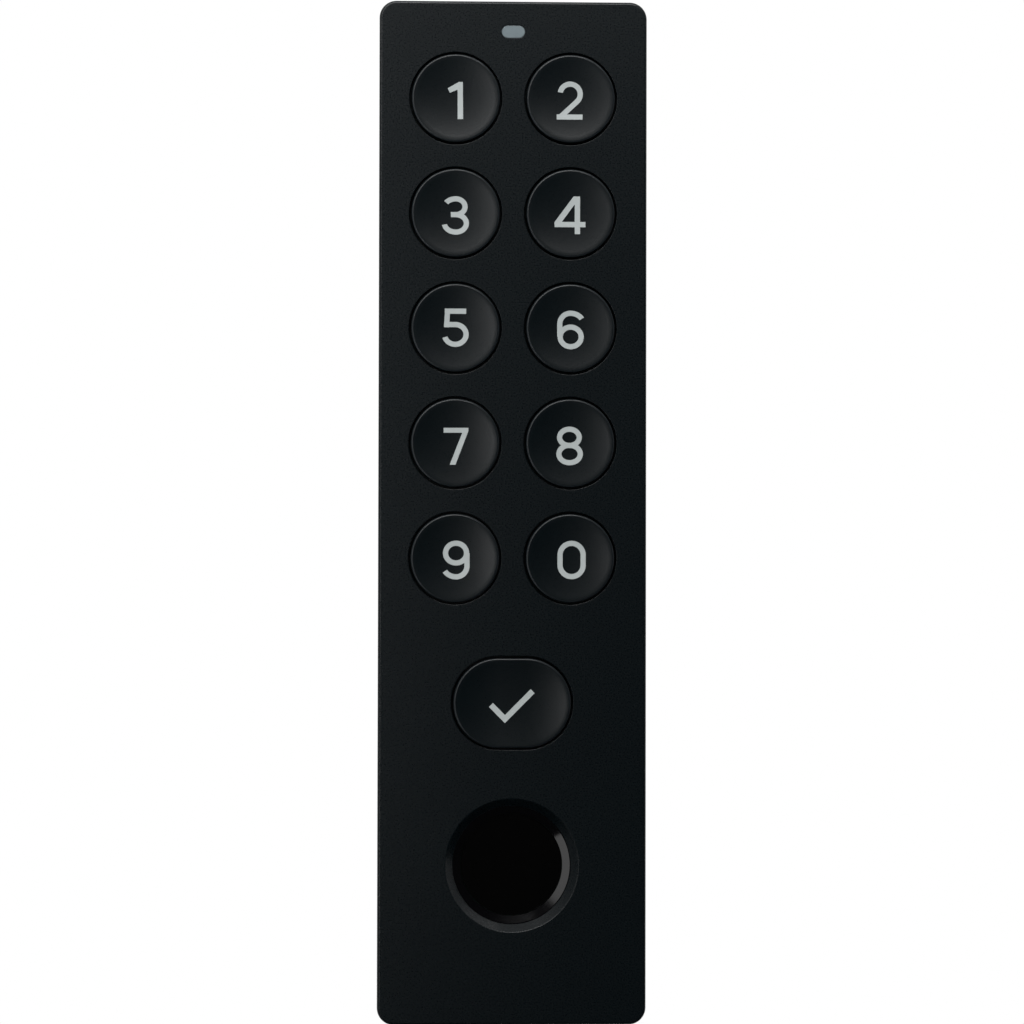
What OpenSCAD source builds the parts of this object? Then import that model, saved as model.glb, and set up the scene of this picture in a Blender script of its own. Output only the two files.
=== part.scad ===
// Battery-powered wall keypad with ten round digit keys, an enter key, a status light and a
// fingerprint sensor.
// The origin is at the middle of the wall plate's back face, on the wall. +Z is up and the front
// looks along -Y.
// Depths, named *_at, *_front and *_back, are measured from the front face towards the wall.

/* [Body] */
// Width of the front cover
body_w = 36; // [36:0.1:36.4]
// Height of the front cover
body_h = 137.4; // [137.4:0.1:138]
// Distance from the wall to the front face
body_d = 22; // [22:0.1:22.4]
// Radius of the upright corners
corner_r = 2.3; // [1.5:0.1:3]
// Thickness of the front face and of the side walls
wall = 1.8; // [1.8:0.05:1.85]
// Gap between the wall and the rim of the front cover
rim_gap = 0.6; // [0.4:0.1:1]

/* [Keys] */
// Diameter of a digit key
key_d = 11.9; // [11:0.1:11.9]
// Gap around every key
key_gap = 0.3; // [0.2:0.05:0.4]
// Distance from key to key, across and down
key_pitch = 15.45; // [15.35:0.05:15.45]
// Height of the top row above the origin
top_row_z = 55.55; // [55.3:0.05:55.6]
// How far a key stands out of the front face
key_proud = 0.35; // [0.2:0.05:0.6]
// Depth of the finger dish in a key
key_dish = 0.45; // [0.2:0.05:0.6]
// Width of the enter key
enter_w = 15.8; // [15:0.1:16.4]
// Height of the enter key
enter_h = 12; // [11.5:0.1:12.4]
// Height of the enter key's middle, below the origin
enter_z = -25.65; // [-25.8:0.05:-25.4]

/* [Fingerprint sensor] */
// Height of the sensor's middle
sensor_z = -47.4; // [-47.6:0.1:-47]
// Diameter of the bevel where it meets the front face
well_d = 17.9; // [17.4:0.1:18.2]
// Diameter of the hole under the bevel
well_hole_d = 15.9; // [15.8:0.1:16.2]
// Depth of the bevel
well_bevel = 0.95; // [0.6:0.05:1.2]
// Diameter of the touch pad
pad_d = 13.6; // [13:0.1:13.8]
// Depth of the touch pad below the front face
pad_at = 2; // [1.9:0.05:2]

/* [Status light] */
// Width of the light
light_w = 3.2; // [2.6:0.1:3.6]
// Height of the light
light_h = 1.75; // [1.4:0.05:1.8]
// Height of the light's middle
light_z = 64.6; // [64.4:0.1:64.8]
// How far the light's lens is set back from the front face
light_sink = 0.12; // [0:0.01:0.3]

/* [Wall plate] */
// Width of the wall plate
plate_w = 31.6; // [31:0.1:31.8]
// Thickness of the wall plate
plate_t = 2.5; // [2.4:0.1:2.6]
// Distance between the two wall screws
wall_screw_pitch = 111; // [110:0.5:112]
// Diameter of the wall screw holes
wall_screw_d = 4.3; // [4:0.1:4.5]
// How far the body slides down to leave the wall plate's hooks
unhook_travel = 3.5; // [3.2:0.1:3.5]

/* [Power] */
// Diameter of an AAA cell
cell_d = 10.5; // [10.2:0.1:10.5]
// Length of an AAA cell with its nub
cell_l = 44.5; // [44:0.1:44.5]

/* [Hidden] */
$fn = 48;
eps = 0.1;                      // how far joined shapes run into each other, and cuts run past a face
cut = 1;                        // how far a cut runs past an outer face
KEY_NAMES = ["key_1", "key_2", "key_3", "key_4", "key_5", "key_6", "key_7", "key_8", "key_9", "key_0"];
CELL_NAMES = ["battery_1", "battery_2", "battery_3", "battery_4"];

// Layers, from the front face towards the wall
cap_back_at = wall + 0.65;      // back of every key's flange
mat_at = 3.6;                   // front of the rubber mat's sheet
board_at = 4.2;                 // front of the circuit board
board_back = board_at + 1;
module_back = board_at + 0.4;   // back of the fingerprint module
ledge_at = 5.4;                 // step inside the cover that the seal presses on
tray_at = 5.5;                  // front of the battery tray
seal_back = tray_at + 0.7;      // bottom of the seal's groove
floor_front = 6.35;             // front of the tray's floor, behind the board
floor_back = 7.55;              // back of the tray's floor, under the cells
pocket_at = 9.6;                // front of the raised floors, behind the taller parts of the board
pocket_back = 10.8;             // back of the raised floors
plate_at = body_d - plate_t;    // front of the wall plate
tray_back = plate_at - 0.9;
rim_back = body_d - rim_gap;    // rim of the front cover

// Front cover
inner_w = body_w - 2 * wall;
inner_h = body_h - 2 * wall;
ledge_w = 1.6;                  // width of the step for the seal
board_room_w = inner_w - 2 * ledge_w;
board_room_h = inner_h - 2 * ledge_w;
inner_r = 1.2;                  // radius of the upright corners inside
lens_room = [6, 3.6];           // pocket for the lens of the status light

// Keys
flange_w = 0.8;                 // how far a key's flange reaches under the front cover
flange_t = 0.6;
skirt_t = 1;                    // wall of a key's cap
cap_t = 0.9;                    // height of the hollow under a key's cap
stem_d = 4;                     // middle of a key, which presses on the mat
rim_t = 0.3;                    // flat rim round a key's dish
edge_r = 0.15;                  // chamfer of a key's edge

// Rubber mat
mat_w = 28;
mat_top = 61.4;
mat_bottom = -32.2;
dome_d = [7.2, 8.8];            // a dome's diameter at the key and at the sheet
dome_hollow_d = 6;
dome_t = 0.55;                  // thickness of a dome's roof
plunger_d = 1.8;
plunger_back = 3.3;

// Fingerprint sensor
bezel_flange_w = 1.3;
bezel_t = 0.3;
gasket_t = 0.35;
pad_t = 0.45;
retainer_size = [26, 19];
flex_up = 5.4;                  // how far above the sensor's middle its flex comes out
flex_w = 8;
flex_t = 0.15;
flex_at = ledge_at + 0.1;       // front of the flex where it lies behind the board
flex_end = -33.8;               // where the flex ends, inside its socket
socket_z = -32.9;
socket_h = 3.6;

// Screws that join the tray to the cover
tray_screw_x = 13.25;
tray_screw_end = 63;
tray_screw_zs = [tray_screw_end, top_row_z - 3.5 * key_pitch, -tray_screw_end];
tray_post_d = 4.2;
// Screws that hold the circuit board, as [x, z]
board_corner = [10.5, -33.2];
board_screw_spots = [
    [0, top_row_z - 0.5 * key_pitch], [0, top_row_z - 2.5 * key_pitch], [0, enter_z + 11],
    board_corner, [-board_corner[0], board_corner[1]]];
board_post_d = 4;
// Screws that hold the sensor's retainer, as [x, z] from the sensor's middle
retainer_spots = [for (x = [-10.7, 10.7], z = [-7.2, 7.2]) [x, z]];
pilot_d = 1.7;                  // hole that a small screw cuts its thread in
tray_pilot_end = 2.6;           // pilot holes end here, a little past their screws
board_pilot_end = 2.2;
retainer_pilot_end = 2.4;
thread_d = 1.66;
screw_hole_d = 2.3;             // hole that a small screw passes
screw_head_room = 3.8;          // pocket for a small screw's head
post_gap = 0.6;                 // room round the posts in the mat and the board

// Circuit board and what is on it
board_w = 28.8;
board_top = 65;
board_bottom = -35.6;
lamp_drop = 4.9;                // how far each key's lamp sits below the key's middle
status_lamp_z = light_z - 0.6;
switch_at = 3.65;
end_bay_z = 57.8;               // height of the taller parts, above the cells
radio_x = -4.4;
buzzer_x = 6.1;

// Battery tray
tray_w = inner_w - 0.4;
tray_h = inner_h - 0.4;
tray_wall = 1.2;
cell_x = cell_d / 2 + 0.2;      // middle of each column of cells
cell_at = floor_back + 0.2 + cell_d / 2;
contact_t = 0.3;                // thickness of the contact plates
contact_w = 8.6;
contact_back = 16.4;
cell_gap = contact_t + 0.3;     // a contact with the bump that meets a cell's nub
nub_d = 3.8;
nub_l = 0.8;
spring_l = 3.5;                 // length of a squeezed contact spring
bay_l = cell_l + spring_l + contact_t + cell_gap;
divider_t = 1.2;                // wall between the upper and the lower cells
bay_end = divider_t / 2 + bay_l;
bay_wall_x = 2 * cell_x;        // inner face of the bay's side walls
bay_wall_t = 0.8;
bay_wall_back = 14;
end_wall_back = 15;
cradle_back = 11;

// Hooks of the wall plate
hook_x = 13.4;
hook_w = 2.2;
hook_zs = [32, -28];
hook_front = 15;                // front of a hook's lip
lip_t = 1.4;
lip_l = 3;
arm_h = 2;
hook_gap = 0.2;                 // clearance of the catches in the hooks
catch_w = 3;

// Wall plate
half_inner_h = inner_h / 2;
plate_bottom = -half_inner_h + 0.4;
plate_top = half_inner_h - unhook_travel - 0.5;
countersink_d = 8.3;
countersink_t = 1.6;
relief = [22, 38, 0.8];         // shallow recesses in the back: width, height and depth
relief_z = 28;

// Captive lock screw, an M3 upright through the bottom wall
lock_at = 15.8;
lock_d = 3;
lock_head_d = 5.5;
lock_hole_d = lock_d + 0.1;
lock_boss_d = 6.6;
lock_boss_top = -half_inner_h + 1.9;
lock_seat = -half_inner_h + 0.2;            // roof of the counterbore
lock_hex = 2.6;                             // width across the corners of the hexagon socket
clip_z = lock_boss_top + 0.1;
clip_t = 0.5;
clip_play = 0.05;                           // room for the clip in its groove
groove_d = 2.3;
insert_d = 4.6;
tab_bottom = -63.9;
tab_t = 2.5;
tab_w = 7.2;
lock_tip = tab_bottom + unhook_travel - 0.2;

// Keys are counted row by row: even ones stand on the left, odd ones on the right
function key_x(i) = (i % 2 == 0 ? -1 : 1) * key_pitch / 2;
function key_z(i) = top_row_z - floor(i / 2) * key_pitch;
key_spots = concat([for (i = [0:9]) [key_x(i), key_z(i)]], [[0, enter_z]]);
// Radius of the ball that sinks a dish of this depth into a disc of this radius
function dish_ball(rim, depth) = (rim * rim + depth * depth) / (2 * depth);

// ---- Helpers -------------------------------------------------------------------------------

// Extrudes an outline in X and Z from one depth to another
module slab(from, to) {
    translate([0, to - body_d, 0]) rotate([90, 0, 0]) linear_extrude(to - from) children();
}

// Rounded rectangle with true arcs
module panel(w, h, r) {
    square([w - 2 * r, h], center = true);
    square([w, h - 2 * r], center = true);
    for (x = [-1, 1], z = [-1, 1]) translate([x * (w / 2 - r), z * (h / 2 - r)]) circle(r);
}

// Rectangle with round ends
module stadium(w, h) {
    square([w - h, h], center = true);
    for (x = [-1, 1]) translate([x * (w - h) / 2, 0]) circle(d = h);
}

// Cylinder that runs from one depth to another at [x, z], or a cone that ends at diameter d_to
module peg(x, z, d, from, to, d_to = -1) {
    translate([x, to - body_d, z]) rotate([90, 0, 0])
        cylinder(d1 = d_to < 0 ? d : d_to, d2 = d, h = to - from);
}

// Upright cylinder from z0 to z1 at a depth
module upright(x, at, d, z0, z1) {
    translate([x, at - body_d, z0]) cylinder(d = d, h = z1 - z0);
}

// Box given by its middle in X and Z, its size and its two depths
module block(x, z, w, h, from, to) {
    translate([x - w / 2, from - body_d, z - h / 2]) cube([w, to - from, h]);
}

// Small pan-head screw with a cross slot, its head on the wall side of the depth seat
module small_screw(x, z, seat, length, head_d, head_t) {
    slot_l = head_d * 0.62;
    slot_w = 0.4;
    difference() {
        peg(x, z, head_d, seat, seat + head_t);
        block(x, z, slot_l, slot_w, seat + head_t / 2, seat + head_t + cut);
        block(x, z, slot_w, slot_l, seat + head_t / 2, seat + head_t + cut);
    }
    peg(x, z, thread_d, seat - length, seat);
}

// ---- Front cover ---------------------------------------------------------------------------

module front_cover() color([0.11, 0.12, 0.12]) difference() {
    post_at = wall - eps;
    union() {
        difference() {
            slab(0, rim_back) panel(body_w, body_h, corner_r);
            slab(wall, ledge_at + cut) panel(board_room_w, board_room_h, inner_r);
            slab(ledge_at, rim_back + cut) panel(inner_w, inner_h, inner_r);
        }
        for (x = [-1, 1], z = tray_screw_zs) peg(x * tray_screw_x, z, tray_post_d, post_at, ledge_at);
        for (s = board_screw_spots) peg(s[0], s[1], board_post_d, post_at, board_at);
        for (s = retainer_spots) peg(s[0], sensor_z + s[1], tray_post_d, post_at, module_back);
        upright(0, lock_at, lock_boss_d, -half_inner_h - eps, lock_boss_top);
    }
    for (i = [0:9]) peg(key_x(i), key_z(i), key_d + 2 * key_gap, -cut, wall + eps);
    slab(-cut, wall + eps) translate([0, enter_z]) stadium(enter_w + 2 * key_gap, enter_h + 2 * key_gap);
    slab(-cut, wall + eps) translate([0, light_z]) stadium(light_w, light_h);
    block(0, light_z - 0.2, lens_room[0], lens_room[1], wall, module_back);
    // Sensor well
    peg(0, sensor_z, well_d, 0, well_bevel, well_hole_d);
    peg(0, sensor_z, well_d, -cut, 0);
    peg(0, sensor_z, well_hole_d, well_bevel - eps, wall + eps);
    // Pilot holes
    for (x = [-1, 1], z = tray_screw_zs)
        peg(x * tray_screw_x, z, pilot_d, tray_pilot_end, ledge_at + cut);
    for (s = board_screw_spots) peg(s[0], s[1], pilot_d, board_pilot_end, board_at + cut);
    for (s = retainer_spots) peg(s[0], sensor_z + s[1], pilot_d, retainer_pilot_end, board_at + cut);
    // Lock screw: a counterbore for the head and a hole for the shank
    upright(0, lock_at, lock_head_d + 0.4, -body_h / 2 - cut, lock_seat);
    upright(0, lock_at, lock_hole_d, lock_seat - eps, lock_boss_top + cut);
}

// ---- Status light --------------------------------------------------------------------------

// Lens with a flange behind the cover, and a light pipe that ends just in front of the lamp
module status_light_lens() color([0.55, 0.58, 0.6]) {
    fit = 0.06;
    flange_at = wall + 0.05;
    slab(light_sink, flange_at) translate([0, light_z]) stadium(light_w - fit, light_h - fit);
    block(0, light_z - 0.2, lens_room[0] - 1, lens_room[1] - 0.8, flange_at, cap_back_at);
    block(0, status_lamp_z, 2.4, 1.4, cap_back_at, 3.3);
}

module status_lamp() color([0.9, 0.9, 0.8]) block(0, status_lamp_z, 1.6, 0.8, 3.5, board_at);

// ---- Fingerprint sensor --------------------------------------------------------------------

module sensor_bezel() color([0.04, 0.04, 0.05]) difference() {
    hole_d = pad_d + 0.1;
    mouth_d = well_hole_d - 0.4;
    union() {
        peg(0, sensor_z, well_hole_d - 0.1, well_bevel, cap_back_at);
        peg(0, sensor_z, well_hole_d + 2 * bezel_flange_w, cap_back_at - bezel_t, cap_back_at);
    }
    peg(0, sensor_z, mouth_d, well_bevel, pad_at, hole_d);
    peg(0, sensor_z, mouth_d, well_bevel - cut, well_bevel);
    peg(0, sensor_z, hole_d, pad_at - eps, cap_back_at + cut);
}

module sensor_gasket() color([0.2, 0.2, 0.22]) difference() {
    peg(0, sensor_z, well_hole_d + 2 * bezel_flange_w - 0.2, wall, wall + gasket_t);
    peg(0, sensor_z, well_hole_d, wall - cut, wall + cut);
}

module sensor_pad() color([0.02, 0.02, 0.02]) peg(0, sensor_z, pad_d, pad_at, pad_at + pad_t);

module sensor_module() color([0.1, 0.25, 0.15]) {
    step = pad_at + pad_t + 0.3;
    peg(0, sensor_z, pad_d + 1.6, pad_at + pad_t, step);
    peg(0, sensor_z, well_hole_d + 1.8, step, module_back);
}

module sensor_retainer() color([0.75, 0.76, 0.78]) difference() {
    slab(module_back, ledge_at) translate([0, sensor_z]) panel(retainer_size[0], retainer_size[1], 1.5);
    for (s = retainer_spots) peg(s[0], sensor_z + s[1], screw_hole_d, board_at, ledge_at + cut);
    block(0, sensor_z + flex_up, flex_w + 1, 1.2, board_at, ledge_at + cut);
    peg(0, sensor_z - 1, 6, board_at, ledge_at + cut);
}

module sensor_retainer_screws() color([0.7, 0.7, 0.72])
    for (s = retainer_spots) small_screw(s[0], sensor_z + s[1], ledge_at, 2.8, 3, 0.8);

// Flat flex that comes out of the module, turns up behind the board and ends in its socket
module sensor_flex() color([0.75, 0.45, 0.1]) {
    bend_z = sensor_z + flex_up;
    block(0, bend_z, flex_w, flex_t, module_back, flex_at + flex_t);
    block(0, (bend_z + flex_end) / 2, flex_w, flex_end - bend_z, flex_at, flex_at + flex_t);
}

module flex_socket() color([0.85, 0.84, 0.78]) difference() {
    mouth_l = 1.4;
    block(0, socket_z, flex_w + 2, socket_h, board_back, board_back + 1);
    mouth_z = socket_z - socket_h / 2 + mouth_l / 2;
    block(0, mouth_z - eps, flex_w + 0.2, mouth_l, flex_at - eps, flex_at + 0.25);
}

// ---- Keys ----------------------------------------------------------------------------------

// Round cap with a dished top, a skirt, a flange and a middle stem, standing on height 0
module digit_cap() {
    r = key_d / 2;
    top = cap_back_at + key_proud;
    ball = dish_ball(r - rim_t, key_dish);
    difference() {
        rotate_extrude() polygon([
            [0, 0], [stem_d / 2, 0], [stem_d / 2, cap_t], [r - skirt_t, cap_t], [r - skirt_t, 0],
            [r + flange_w, 0], [r + flange_w, flange_t], [r, flange_t],
            [r, top - edge_r], [r - edge_r, top], [0, top]]);
        translate([0, 0, top - key_dish + ball]) sphere(ball, $fn = 96);
    }
}

module digit_key(i) color([0.1, 0.11, 0.11])
    translate([key_x(i), cap_back_at - body_d, key_z(i)]) rotate([90, 0, 0]) digit_cap();

module key_enter() color([0.1, 0.11, 0.11]) {
    top = cap_back_at + key_proud;
    reach = (enter_w - enter_h) / 2;
    ball = dish_ball(enter_h / 2 - rim_t, key_dish);
    translate([0, cap_back_at - body_d, enter_z]) rotate([90, 0, 0]) difference() {
        union() {
            linear_extrude(flange_t) stadium(enter_w + 2 * flange_w, enter_h + 2 * flange_w);
            linear_extrude(top) stadium(enter_w, enter_h);
        }
        difference() {
            translate([0, 0, -cut]) linear_extrude(cap_t + cut)
                stadium(enter_w - 2 * skirt_t, enter_h - 2 * skirt_t);
            translate([0, 0, -2 * cut]) cylinder(d = stem_d, h = cap_t + 3 * cut);
        }
        translate([0, 0, top - key_dish + ball]) {
            rotate([0, 90, 0]) cylinder(r = ball, h = 2 * reach, center = true, $fn = 96);
            for (x = [-1, 1]) translate([x * reach, 0, 0]) sphere(ball, $fn = 96);
        }
    }
}

// Rubber mat: a sheet on the board with a hollow dome and a plunger under each key
module key_mat() color([0.55, 0.56, 0.58]) {
    difference() {
        union() {
            slab(mat_at, board_at) translate([0, (mat_top + mat_bottom) / 2])
                panel(mat_w, mat_top - mat_bottom, 1);
            for (s = key_spots) peg(s[0], s[1], dome_d[0], cap_back_at, mat_at + eps, dome_d[1]);
        }
        for (s = key_spots) {
            peg(s[0], s[1], dome_hollow_d, cap_back_at + dome_t, board_at + cut);
            peg(s[0], s[1] - lamp_drop, 1.6, mat_at - eps, board_at + cut);
        }
        for (x = [-1, 1], z = tray_screw_zs)
            peg(x * tray_screw_x, z, tray_post_d + post_gap, mat_at - cut, board_at + cut);
        for (s = board_screw_spots) peg(s[0], s[1], board_post_d + post_gap, mat_at - cut, board_at + cut);
    }
    for (s = key_spots) peg(s[0], s[1], plunger_d, cap_back_at + dome_t - eps, plunger_back);
}

// ---- Circuit board -------------------------------------------------------------------------

module main_board() color([0.06, 0.22, 0.14]) difference() {
    slab(board_at, board_back) translate([0, (board_top + board_bottom) / 2])
        panel(board_w, board_top - board_bottom, 1);
    for (x = [-1, 1], z = tray_screw_zs)
        peg(x * tray_screw_x, z, tray_post_d + post_gap, board_at - cut, board_back + cut);
    for (s = board_screw_spots) peg(s[0], s[1], screw_hole_d, board_at - cut, board_back + cut);
}

module board_screws() color([0.7, 0.7, 0.72])
    for (s = board_screw_spots) small_screw(s[0], s[1], board_back, 2.8, 3, 0.9);

// One low push switch under each key
module key_switches() color([0.78, 0.79, 0.8])
    for (s = key_spots) {
        block(s[0], s[1], 3.2, 3.2, switch_at, board_at);
        peg(s[0], s[1], 1.6, switch_at - 0.25, switch_at);
    }

// One small lamp beside each switch, which lights the digit
module key_lamps() color([0.95, 0.93, 0.8])
    for (s = key_spots) block(s[0], s[1] - lamp_drop, 1, 0.5, 3.75, board_at);

// Small board with a metal can over its chips
module radio_module() color([0.8, 0.81, 0.82]) {
    base_back = board_back + 0.6;
    block(radio_x, end_bay_z, 11, 9.2, board_back, base_back);
    block(radio_x, end_bay_z - 0.5, 10.4, 7.4, base_back, base_back + 1.6);
}

module buzzer() color([0.08, 0.08, 0.08]) difference() {
    block(buzzer_x, end_bay_z, 8.4, 8.4, board_back, board_back + 3);
    peg(buzzer_x, end_bay_z, 1.6, board_back + 1.5, board_back + 3 + cut);
}

// Square chip of side s
module chip(x, z, s, t) block(x, z, s, s, board_back, board_back + t);

module controller_chips() color([0.12, 0.12, 0.13]) {
    chip(0, 31.4, 7, 0.9);
    chip(-4.5, 6, 5.4, 0.9);
    chip(5.5, -8, 4, 0.8);
}

// A row of n small parts, 0.8 by 1.6 mm, from x on at a pitch
module chip_row(n, x, z, pitch, t)
    for (k = [0:n - 1]) block(x + pitch * k, z, 0.8, 1.6, board_back, board_back + t);

// Rows of resistors and capacitors, an inductor and a crystal
module board_parts() color([0.6, 0.5, 0.35]) {
    chip_row(8, -7, 24.6, 2, 0.5);
    chip_row(6, 1, 8.4, 1.8, 0.6);
    chip_row(7, -6, -20.4, 2, 0.5);
    chip_row(4, 5.2, 32, 1.6, 0.5);
    chip(-4.6, -8, 4, 1);
    block(-7.6, 38, 3.2, 2.5, board_back, board_back + 0.8);
}

// ---- Battery tray --------------------------------------------------------------------------

module battery_tray() color([0.13, 0.13, 0.14]) difference() {
    union() {
        slab(tray_at, floor_back) panel(tray_w, tray_h, 1);
        difference() {
            slab(tray_at, tray_back) panel(tray_w, tray_h, 1);
            slab(tray_at - cut, tray_back + cut) panel(tray_w - 2 * tray_wall, tray_h - 2 * tray_wall, 0.6);
        }
        // Raised floors above and below the cells
        for (z = [-1, 1]) translate([0, 0, z * end_bay_z])
            slab(floor_back - eps, pocket_back) panel(23, 13.2, 1);
        // Side walls, end walls and the divider of the cell bays
        for (x = [-1, 1])
            block(x * (bay_wall_x + bay_wall_t / 2), 0, bay_wall_t, 2 * bay_end + 2,
                  floor_back - eps, bay_wall_back);
        for (z = [-1, 0, 1])
            block(0, z * (bay_end + divider_t / 2), 2 * bay_wall_x + bay_wall_t, divider_t,
                  floor_back - eps, end_wall_back);
        // Cradles that follow the round cells
        for (z = [-38, -13, 13, 38]) difference() {
            block(0, z, 2 * bay_wall_x + bay_wall_t, 1.2, floor_back - eps, cradle_back);
            for (x = [-1, 1]) upright(x * cell_x, cell_at, cell_d + 0.2, z - cut, z + cut);
        }
        // Catches that the wall plate's hooks hold
        for (x = [-1, 1], z = hook_zs)
            block(x * (hook_x + 0.3), z - hook_gap - catch_w / 2, catch_w, catch_w,
                  hook_front + lip_t + hook_gap, tray_back - hook_gap);
    }
    // Room for the parts on the back of the board, deeper above and below the cells
    block(0, 0, 21.6, 126, tray_at - cut, floor_front);
    for (z = [-1, 1]) block(0, z * end_bay_z, 21.4, 11, tray_at - cut, pocket_at);
    for (s = retainer_spots) peg(s[0], sensor_z + s[1], screw_head_room, tray_at - cut, floor_front);
    for (x = [-1, 1])
        peg(x * board_corner[0], board_corner[1], screw_head_room, tray_at - cut, floor_front);
    // Groove for the seal
    slab(tray_at - cut, seal_back) difference() {
        panel(tray_w - 0.5, tray_h - 0.5, 0.9);
        panel(tray_w - 2.3, tray_h - 2.3, 0.6);
    }
    for (x = [-1, 1], z = tray_screw_zs)
        peg(x * tray_screw_x, z, screw_hole_d, tray_at - cut, floor_back + cut);
    // Slots for the two contact legs, and a notch for the lock screw
    for (x = [-1, 1]) block(x * cell_x, bay_end - contact_t, 1.8, 0.8, tray_at - cut, floor_back + cut);
    block(0, -tray_h / 2, 8.4, 4, 11.9, tray_back + cut);
}

module housing_seal() color([0.3, 0.31, 0.33]) slab(ledge_at, seal_back) difference() {
    panel(tray_w - 0.6, tray_h - 0.6, 0.9);
    panel(tray_w - 2.2, tray_h - 2.2, 0.6);
}

module housing_screws() color([0.72, 0.72, 0.74])
    for (x = [-1, 1], z = tray_screw_zs) small_screw(x * tray_screw_x, z, floor_back, 4.6, 2.9, 1.3);

// ---- Cells and contacts --------------------------------------------------------------------

// Upright cell from z0, its nub at the top, or at the bottom when flipped
module cell(x, z0, flipped) {
    can = z0 + (flipped ? nub_l : 0);
    nub = flipped ? z0 : can + cell_l - nub_l - eps;
    upright(x, cell_at, cell_d, can, can + cell_l - nub_l);
    upright(x, cell_at, nub_d, nub, nub + nub_l + eps);
}

// The left column points up and the right column points down
module battery(i) color([0.25, 0.42, 0.3]) {
    left = i % 2 == 0;
    slot = i < 2 ? divider_t / 2 : -bay_end;
    cell(left ? -cell_x : cell_x, slot + (left ? spring_l + contact_t : cell_gap), !left);
}

// Sheet contact on a wall's face at z, on the side that side gives, with its bump if it has one
module contact_sheet(x, z, side, bump, w = contact_w) {
    block(x, z + side * contact_t / 2, w, contact_t, floor_back + 0.2, contact_back);
    if (bump) upright(x, cell_at, 3.4, side > 0 ? z : z - cell_gap, side > 0 ? z + cell_gap : z);
}

// Leg that presses on a pad of the circuit board
module contact_leg(x) block(x, bay_end - contact_t / 2, 1.4, contact_t, board_back, floor_back + 0.4);

module contact_positive() color([0.8, 0.8, 0.78]) {
    contact_sheet(-cell_x, bay_end, -1, true);
    contact_leg(-cell_x);
}

module contact_negative() color([0.8, 0.8, 0.78]) {
    contact_sheet(cell_x, bay_end, -1, false);
    contact_leg(cell_x);
}

// Folded over the divider: one face has the bump, the other is the seat of a spring
module contact_middle(x, bump_up) color([0.8, 0.8, 0.78]) {
    contact_sheet(x, divider_t / 2, 1, bump_up);
    contact_sheet(x, -divider_t / 2, -1, !bump_up);
    block(x, 0, contact_w, divider_t + 2 * contact_t, contact_back - contact_t, contact_back);
}

module contact_bridge() color([0.8, 0.8, 0.78]) {
    contact_sheet(0, -bay_end, 1, false, 2 * cell_x + contact_w);
    contact_sheet(cell_x, -bay_end, 1, true);
}

// A cone spring's wire. A ring of n points goes round it at each place t of the way along
spring_base_r = 3.3;
spring_tip_r = 2;
spring_turns = 3;
wire_r = 0.32;
function spring_place(t, l) = let (r = spring_base_r + (spring_tip_r - spring_base_r) * t)
    [r * cos(360 * spring_turns * t), r * sin(360 * spring_turns * t), wire_r + (l - 2 * wire_r) * t];
function spring_ring(t, l, n) = let (a = 360 * spring_turns * t, p = spring_place(t, l))
    [for (k = [0:n - 1]) let (b = 360 * k / n) p + wire_r * [cos(a) * cos(b), sin(a) * cos(b), sin(b)]];

// Cone spring that stands on z = 0, its wide end down
module cone_spring(l) {
    n = 6;
    rings = 42;
    polyhedron(
        points = [for (i = [0:rings]) each spring_ring(i / rings, l, n)],
        faces = concat(
            [[for (k = [0:n - 1]) k]],
            [for (i = [0:rings - 1], k = [0:n - 1])
                [i * n + k, (i + 1) * n + k, (i + 1) * n + (k + 1) % n, i * n + (k + 1) % n]],
            [[for (k = [n - 1:-1:0]) rings * n + k]]));
}

module battery_springs() color([0.82, 0.82, 0.8]) {
    play = 0.02;
    l = spring_l - 2 * play;
    y = cell_at - body_d;
    middle = divider_t / 2 + contact_t + play;
    end = bay_end - contact_t - play;
    translate([-cell_x, y, middle]) cone_spring(l);
    translate([-cell_x, y, -end]) cone_spring(l);
    translate([cell_x, y, end]) rotate([180, 0, 0]) cone_spring(l);
    translate([cell_x, y, -middle]) rotate([180, 0, 0]) cone_spring(l);
}

// ---- Wall plate and lock -------------------------------------------------------------------

module wall_plate() color([0.14, 0.14, 0.15]) difference() {
    root = plate_at + eps;
    gusset_h = 4.8;
    union() {
        slab(plate_at, body_d) translate([0, (plate_top + plate_bottom) / 2])
            panel(plate_w, plate_top - plate_bottom, 0.9);
        // Hooks that point down
        for (x = [-1, 1], z = hook_zs) {
            block(x * hook_x, z + arm_h / 2, hook_w, arm_h, hook_front, root);
            block(x * hook_x, z - (lip_l - eps) / 2, hook_w, lip_l + eps, hook_front, hook_front + lip_t);
        }
        // Ribs that keep the cells down
        for (z = [-36, -14, 14, 36]) block(0, z, 19, 1.2, tray_back, root);
        // Tab for the lock screw, with a gusset on each side
        block(0, tab_bottom + tab_t / 2, tab_w, tab_t, lock_at - 3.4, root);
        for (x = [-1, 1]) block(x * (tab_w - 1) / 2, tab_bottom + tab_t, 1, gusset_h, plate_at - 2, root);
    }
    // Countersunk holes for the wall screws
    for (z = [-1, 1] * wall_screw_pitch / 2) {
        peg(0, z, wall_screw_d, plate_at - cut, body_d + cut);
        peg(0, z, countersink_d, plate_at - 0.01, plate_at + countersink_t, wall_screw_d);
    }
    upright(0, lock_at, insert_d, tab_bottom - cut, tab_bottom + tab_t + cut);
    for (z = [-relief_z, relief_z]) translate([0, 0, z])
        slab(body_d - relief[2], body_d + cut) panel(relief[0], relief[1], 1);
}

module lock_insert() color([0.78, 0.62, 0.28]) difference() {
    upright(0, lock_at, insert_d - 0.02, tab_bottom, tab_bottom + tab_t);
    upright(0, lock_at, lock_d + 0.06, tab_bottom - cut, tab_bottom + tab_t + cut);
}

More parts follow.
